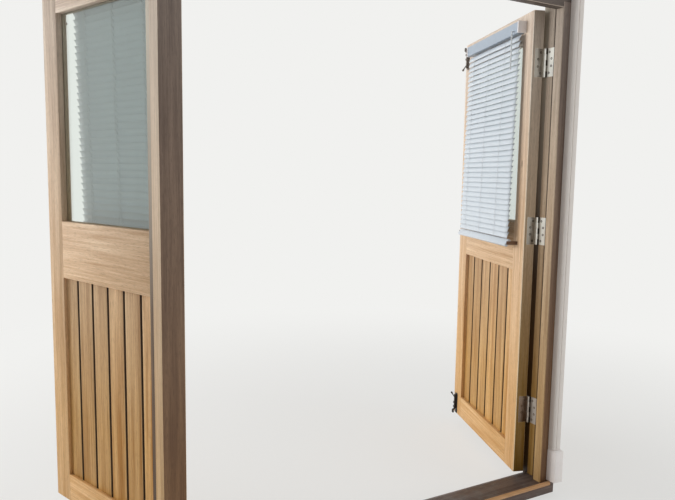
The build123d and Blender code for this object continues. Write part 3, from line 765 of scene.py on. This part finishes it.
class DOORSET_OT_trim(bpy.types.Operator):
    """Paint the room-side trim and its plinth block"""
    bl_idname = "doorset.trim"
    bl_label = "Painted trim"

    def execute(self, context):
        timber = context.scene.timber
        for node, name, paint in (("right_trim", "Off-white eggshell paint", timber.paint),
                                  ("right_plinth_block", "White eggshell paint", timber.block_paint)):
            dress(node, "frame", [eggshell_paint(name, paint)], timber.arris)
        return {"FINISHED"}


class DOORSET_OT_seal(bpy.types.Operator):
    """Give the weather seal its rounded foam section"""
    bl_idname = "doorset.seal"
    bl_label = "Weather seal"

    def execute(self, context):
        dress("weather_seal", "frame", [seal_foam()], 0.6 * MM)
        return {"FINISHED"}


class DOORSET_OT_leaf_timber(bpy.types.Operator):
    """Dress the stiles, rails, boards and glazing beads of both leaves in oak"""
    bl_idname = "doorset.leaf_timber"
    bl_label = "Leaf timber"

    def execute(self, context):
        timber = context.scene.timber
        boards = (90.5 * MM, 345 * MM, -19 * MM - AXIS_Y, 8 * MM)
        knot = (645 * MM - AXIS_X, 1236 * MM)
        for side in SIDES:
            upright = oak(f"Oiled oak stile {side}", side, "Z", "door")
            level = oak(f"Oiled oak rail {side}", side, "X", "door")
            boarded = oak(f"Oiled oak board {side}", side, "Z", "board", boards=boards)
            knotted = oak(f"Oiled oak hinge stile {side}", side, "Z", "door", knot=knot)
            # The hinge edge takes its own copy of the oak, with painted shade darker and richer towards the
            # foot
            edge = oak(f"Oiled oak edge {side}", side, "Z", "edge", foot_shade=0.55)
            # The hinge stile's rounded arrises take a pale painted highlight
            arris_highlight = oak(f"Bare oak arris {side}", side, "Z", "arris")
            back = hanging(side).inverted().to_3x3()
            dress(f"{side}_hinge_stile", side + "_door", [knotted, edge, arris_highlight],
                  timber.hinge_arris,
                  lambda place, way: 1 if (back @ way).x > 0.98 else 2 * ((back @ way).x > 0.1))
            for part, slot, material, share in (
                    ("meeting_stile", "door_oak", upright, 1), ("top_rail", "door_oak", level, 1),
                    ("lock_rail", "door_oak", level, 1), ("bottom_rail", "door_oak", level, 1),
                    ("glazing_bead", "door_oak", upright, 0.6), ("boards", "board_oak", boarded, 0.5)):
                dress(f"{side}_{part}", side + "_door", [material], timber.arris * share)
        return {"FINISHED"}


class DOORSET_OT_glass(bpy.types.Operator):
    """Glaze both leaves"""
    bl_idname = "doorset.glass"
    bl_label = "Glass"

    def execute(self, context):
        glass = clear_glass()
        for side in SIDES:
            slots = frame["nodes"][side + "_glass"].material_slots
            if not slots:
                raise RuntimeError("the pane has no material slot")
            for slot in slots:
                slot.link = "OBJECT"
                slot.material = glass
        return {"FINISHED"}


class DOORSET_OT_hinges(bpy.types.Operator):
    """Finish the butt hinges in satin steel and set their screws"""
    bl_idname = "doorset.hinges"
    bl_label = "Butt hinges"

    def execute(self, context):
        iron = context.scene.ironmongery
        bright = satin_steel("Satin stainless steel", iron.steel, tint=0.65)
        seated = satin_steel("Satin stainless steel frame plates", iron.steel, tint=0.65, crevice=0.6 * MM)
        dull = satin_steel("Weathered satin stainless steel", iron.dull_steel, tint=0.8)
        screws = screw_tree(satin_steel("Dull steel screws", iron.screw, tint=0.6))
        values = {"Head": iron.screw_head, "Height": 0.7 * MM, "Recess": iron.recess, "Seed": 3}
        # Length of a plate, how far the middle hinge sits above the middle, and half the gap beside the leaf
        arris, plate, above_middle, to_face = 0.25 * MM, 102 * MM, 38 * MM, 2.5 * MM
        for side, sign in SIDES.items():
            dress(f"{side}_frame_hinges", "frame", [seated], arris)
            back = hanging(side).inverted().to_3x3()
            # The door halves' plates take the dull copy of the steel, as painted shade
            dress(f"{side}_door_hinges", side + "_door", [bright, dull], arris,
                  lambda place, way: (back @ way).x > 0.99)
            low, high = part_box(side + "_frame_hinges")
            feet = (low.z, low.z + (high.z - low.z) / 2 + above_middle - plate / 2, high.z - plate)
            for part, body, way, stand in (
                    ("frame_hinges", "frame", -1, Matrix.Diagonal((sign, 1, 1, 1))),
                    ("door_hinges", side + "_door", 1, hanging(side))):
                # Four screws in each plate
                places = [(AXIS_X - way * to_face, y * MM, foot + z * MM) for foot in feet
                          for y, z in ((-9, 14), (-19, 38), (-19, 64), (-9, 88))]
                set_screws(screws, f"{side}_{part}_screws", body, places, (way, 0, 0), stand,
                           values)
        return {"FINISHED"}


class DOORSET_OT_bolts(bpy.types.Operator):
    """Finish the necked bolts in black iron, with turned levers and screws"""
    bl_idname = "doorset.bolts"
    bl_label = "Door bolts"

    def rod(self, name):
        """Necked bar with its leaning lever, drawn upward from the end of its tip."""
        outline = [(-5, 1.4), (-5, 13.5), (-3, 16.5), (2, 20), (4, 23), (4, 89), (3, 90), (-3, 90), (-4, 89),
                   (-4, 22.5), (-6, 19.5), (-11, 16), (-13, 13), (-13, 1.6), (-11.4, 0), (-6.6, 0)]
        bar = prism([(y * MM, z * MM) for y, z in outline], 5 * MM)
        edges = [e for e in bar.edges if abs(e.calc_face_angle(0)) > 1.3]
        bmesh.ops.bevel(bar, geom=edges, offset=0.7 * MM, segments=2, profile=0.5, affect="EDGES",
                        clamp_overlap=True)
        profile = [(0, 0), (2.1, 0), (2.0, 6), (2.1, 14), (2.5, 24), (3.0, 28), (3.9, 29.6), (4.5, 31.6),
                   (4.6, 33.5), (4.3, 35.4), (3.5, 36.9), (2.2, 37.8), (0.8, 38), (0, 38)]
        lever = turned([(r * MM, z * MM) for r, z in profile], 20)
        lean = Matrix.Translation((0, 0, 71 * MM)) @ Matrix.Rotation(math.radians(32), 4, "X")
        bmesh.ops.transform(lever, matrix=lean, verts=lever.verts)
        return joined(name, [bar, lever])

    def execute(self, context):
        iron = context.scene.ironmongery
        bolt_x, rod_y, plate_y = 36.5 * MM, -49.6 * MM, -45 * MM
        values = {"Head": iron.bolt_screw_head, "Height": 0.9 * MM, "Recess": iron.recess, "Seed": 5}
        finishes = {"bottom": black_iron("Black lacquered iron", iron.iron),
                    "top": black_iron("Faded lacquered iron", iron.faded_iron)}
        heads = {end: screw_tree(black) for end, black in finishes.items()}
        for side in SIDES:
            for end, level, way in (("bottom", 52 * MM, 1), ("top", 1768 * MM, -1)):
                name = f"{side}_{end}_bolt"
                dress(name + "_case", side + "_door", [finishes[end]], 0.5 * MM)
                rod = self.rod(name + "_rod_turned")
                rod.transform(Matrix.Translation((bolt_x, rod_y, level)) @ Matrix.Diagonal((1, 1, way, 1)))
                if way < 0:
                    rod.flip_normals()
                piece(rod.name, hang(rod, side), name, [finishes[end]], [name + "_rod"])
                places = [(bolt_x + x * MM, plate_y, level + way * z * MM) for x, z in (
                    (-9.6, 14), (9.6, 14), (-9.6, 84), (9.6, 84), (-10.6, 62), (10.6, 62))]
                set_screws(heads[end], name + "_screws", side + "_door", places, (0, -1, 0),
                           hanging(side), values)
        return {"FINISHED"}


class DOORSET_OT_blinds(bpy.types.Operator):
    """Hang a venetian blind on each leaf"""
    bl_idname = "doorset.blinds"
    bl_label = "Venetian blinds"

    def execute(self, context):
        blind = context.scene.blind
        enamel = satin_enamel("Satin enamel", blind.enamel)
        # A shaded copy of the enamel for the headrail and a lit copy for its brackets, as painted shade and
        # light
        rail_enamel = satin_enamel("Satin enamel of the headrail", blind.rail_enamel)
        bracket = satin_enamel("Satin enamel of the brackets", blind.bracket)
        # The holders are drawn dark brown as painted shade
        holder = moulded_plastic(blind.holder)
        acrylic = clear_acrylic()
        slats = slat_tree(enamel)
        ladders = ladder_tree(ladder_cord(blind.cord))
        # Ends of the slats, heights of the rails and the lowest slat, and planes at the top and the foot
        left, right = 104.5 * MM, 623.5 * MM
        rail_z, head_z = 936 * MM, 1718 * MM
        foot_z, count = 965.4 * MM, 36
        near, far = -59 * MM, -76 * MM
        middle, reach = (left + right) / 2, (right - left) / 2
        slope = (near - far) / (head_z - rail_z)
        foot = Vector((middle, far + slope * (foot_z - rail_z), foot_z))
        row = {"Count": count, "Step": Vector((0, slope * blind.pitch, blind.pitch)), "Tilt": blind.tilt,
               "Top Tilt": blind.top_tilt}
        for side in SIDES:
            body = side + "_door"
            back = hanging(side).inverted()
            for part, materials in (("headrail", [rail_enamel, bracket]), ("bottom_rail", [enamel, holder])):
                dress(f"{side}_blind_{part}", body, materials, 0.5 * MM,
                      lambda place, way: abs((back @ place).x - middle) > reach + 0.5 * MM)
            dress(f"{side}_blind_wand", body, [acrylic], 0.3 * MM)
            name = f"{side}_blind_slats_hung"
            values = {**row, "Length": right - left, "Width": blind.slat_width, "Foot": foot,
                      "Thickness": blind.slat_thickness, "Crown": blind.crown, "Unevenness": blind.unevenness,
                      "Seed": 11 if side == "right" else 12}
            mesh = hang(grown(slats, point_mesh([]), values, name), side)
            piece(name, mesh, body, nodes=[f"{side}_blind_slats"])
            name = f"{side}_blind_ladders"
            values = {**row, "Foot": Vector((0, foot.y, foot.z)), "Top": Vector((0, near, head_z + 2 * MM)),
                      "Bottom": Vector((0, far, rail_z + 9 * MM)), "Spread": 5.9 * MM, "Cord": 0.55 * MM,
                      "Rung": 12 * MM}
            places = [(x * MM, 0, 0) for x in (172.5, 334.5, 496.5)]
            mesh = hang(grown(ladders, point_mesh(places), values, name), side)
            piece(name, mesh, body)
        return {"FINISHED"}


class DOORSET_OT_stage(bpy.types.Operator):
    """Set the floor, backdrop, soft lights and camera"""
    bl_idname = "doorset.stage"
    bl_label = "Stage"

    def seen(self, node):
        """Share of 1 for what the camera sees, straight or in metal and glass."""
        path = node("LightPath").outputs
        share = path["Is Camera Ray"]
        for ray in ("Is Glossy Ray", "Is Transmission Ray"):
            share = node("Math", {0: share, 1: path[ray]}, operation="MAXIMUM")
        return share

    def floor(self, scene):
        """Pale floor that keeps the shadow near the doors and fades into the backdrop further off."""
        reach = 30
        mesh = bpy.data.meshes.new("Floor")
        mesh.from_pydata([(-reach, -reach, 0), (reach, -reach, 0), (reach, reach, 0), (-reach, reach, 0)], [],
                         [(0, 1, 2, 3)])
        floor = bpy.data.objects.new("Floor", mesh)
        scene.collection.objects.link(floor)
        material, node, place = surface("Pale floor")
        tree = material.node_tree
        finish(material, scene.stage.floor, 0.9)
        glow = node("Emission", {"Color": scene.stage.backdrop, "Strength": 1})
        away = node("VectorMath", {0: place}, operation="LENGTH")
        away = node("MapRange", {"Value": away, "From Min": 1, "From Max": 3.8, "To Min": 0.62},
                    interpolation_type="SMOOTHSTEP")
        share = node("Math", {0: self.seen(node), 1: away}, operation="MULTIPLY")
        blended = node("MixShader", {0: share, 1: tree.nodes["Principled BSDF"], 2: glow})
        feed(tree, blended, tree.nodes["Material Output"].inputs["Surface"])
        mesh.materials.append(material)

    def sky(self, scene):
        """Soft even light, stronger from outdoors than from the room, seen as the plain backdrop."""
        stage = scene.stage
        world = bpy.data.worlds.new("Pale room")
        world.use_nodes = True
        scene.world = world
        tree = world.node_tree
        node = partial(add, tree)
        way = node("TexCoord").outputs["Generated"]
        way = node("VectorMath", {0: way, 1: (-0.6, 0.8, 0)}, operation="DOT_PRODUCT")
        level = node("MapRange", {"Value": way, "From Min": -0.5, "From Max": 0.8, "To Min": stage.room_sky,
                                  "To Max": stage.outdoor_sky}, interpolation_type="SMOOTHSTEP")
        even = node("Background", {"Color": (0.97, 0.98, 1), "Strength": level})
        plain = node("Background", {"Color": stage.backdrop, "Strength": 1})
        blended = node("MixShader", {0: self.seen(node), 1: even, 2: plain})
        feed(tree, blended, tree.nodes["World Output"].inputs["Surface"])

    def lamps(self, scene):
        """Large soft lamps outside the doorway and on the room side."""
        for name, power, place, aim, width, height in (
                ("Outdoor light", scene.stage.key, (-3.5, 4.2, 1.35), (0.8, 0.3, 0.6), 5.2, 2.5),
                ("Room light", scene.stage.fill, (3.6, -4.2, 1.05), (0.75, -0.1, 0.4), 2.8, 2.0)):
            lamp = bpy.data.lights.new(name, "AREA")
            lamp.energy = power
            lamp.shape = "RECTANGLE"
            lamp.size = width
            lamp.size_y = height
            stand = bpy.data.objects.new(name, lamp)
            stand.location = place
            stand.rotation_mode = "QUATERNION"
            stand.rotation_quaternion = (Vector(aim) - Vector(place)).to_track_quat("-Z", "Y")
            # The panes and hinges mirror the plain backdrop, not the lamps
            stand.visible_glossy = stand.visible_transmission = False
            scene.collection.objects.link(stand)

    def camera(self, scene):
        """Camera at the fitted place, turned by its yaw, pitch and roll."""
        place = (-1.17667, -1.77908, 1.18197)
        yaw, pitch, roll = math.radians(29.559), math.radians(-6.386), math.radians(0.878)
        forward = Vector((math.sin(yaw) * math.cos(pitch), math.cos(yaw) * math.cos(pitch), math.sin(pitch)))
        across = Vector((math.cos(yaw), -math.sin(yaw), 0))
        upward = across.cross(forward)
        side = math.cos(roll) * across + math.sin(roll) * upward
        upward = math.cos(roll) * upward - math.sin(roll) * across
        lens = bpy.data.cameras.new("Camera")
        lens.lens = scene.stage.focal
        lens.sensor_width = 36
        lens.clip_start = 0.05
        camera = bpy.data.objects.new("Camera", lens)
        turn = Matrix((side, upward, -forward)).transposed().to_4x4()
        camera.matrix_world = Matrix.Translation(place) @ turn
        scene.collection.objects.link(camera)
        scene.camera = camera

    def execute(self, context):
        scene = context.scene
        for step in (self.floor, self.sky, self.lamps, self.camera):
            step(scene)
        scene.view_settings.view_transform = "Standard"
        return {"FINISHED"}


class DOORSET_PT_panel(bpy.types.Panel):
    """Lists the steps that dress the door set"""
    bl_idname = "DOORSET_PT_panel"
    bl_label = "Door set"
    bl_space_type = "VIEW_3D"
    bl_region_type = "UI"
    bl_category = "Door set"

    def draw(self, context):
        for group in GROUPS:
            settings = getattr(context.scene, group)
            box = self.layout.box()
            for name in settings.bl_rna.properties.keys():
                if name not in {"rna_type", "name"}:
                    box.prop(settings, name)
        for step in STEPS:
            self.layout.operator(step.bl_idname)


GROUPS = {"timber": TimberSettings, "ironmongery": IronmongerySettings, "blind": BlindSettings,
          "stage": StageSettings}
STEPS = (DOORSET_OT_frame_timber, DOORSET_OT_outer_trim, DOORSET_OT_trim, DOORSET_OT_seal,
         DOORSET_OT_leaf_timber, DOORSET_OT_glass, DOORSET_OT_hinges, DOORSET_OT_bolts, DOORSET_OT_blinds,
         DOORSET_OT_stage)


def register():
    """Registers the settings, steps and panel."""
    for name, group in GROUPS.items():
        bpy.utils.register_class(group)
        setattr(bpy.types.Scene, name, bpy.props.PointerProperty(type=group))
    for made in (*STEPS, DOORSET_PT_panel):
        bpy.utils.register_class(made)


def unregister():
    """Takes the settings, steps and panel away again."""
    for made in reversed((*STEPS, DOORSET_PT_panel)):
        bpy.utils.unregister_class(made)
    for name, group in reversed(GROUPS.items()):
        delattr(bpy.types.Scene, name)
        bpy.utils.unregister_class(group)


def main():
    """Runs every step in order."""
    register()
    for step in STEPS:
        family, name = step.bl_idname.split(".")
        getattr(getattr(bpy.ops, family), name)()


if __name__ == "__main__":
    main()
